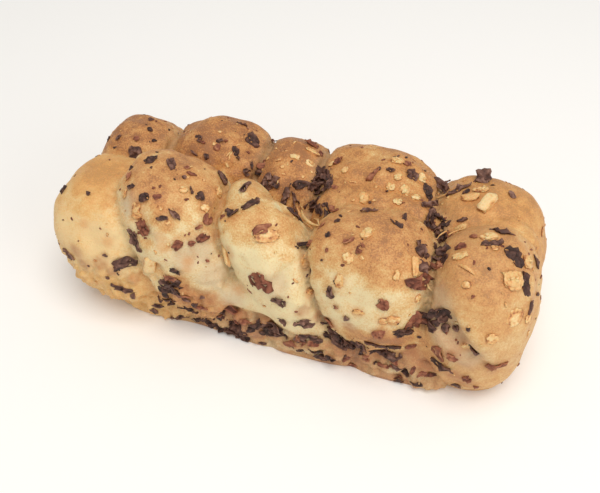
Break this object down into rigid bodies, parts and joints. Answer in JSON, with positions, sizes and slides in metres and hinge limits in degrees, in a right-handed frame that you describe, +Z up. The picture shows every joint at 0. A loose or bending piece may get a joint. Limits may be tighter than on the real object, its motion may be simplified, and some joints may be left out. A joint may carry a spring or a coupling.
{
  "type": "cheese and onion bread",
  "caption": "Tear-and-share loaf baked as two rows of dough balls, crust flecked with kibbled onion and baked cheese, flat underneath to rest on.",
  "frame": {"origin": "centre of the loaf's box on the surface it rests on", "axes": "+X along the loaf, +Y to the back row of balls, +Z up"},
  "size_m": [0.245, 0.1141, 0.0864],
  "materials": {
    "crust": "matt baked crust",
    "onion": "dark baked onion",
    "cheese": "dry baked cheese"
  },
  "bodies": {
    "root": {"loaf": "crust"}
  },
  "joints": []
}
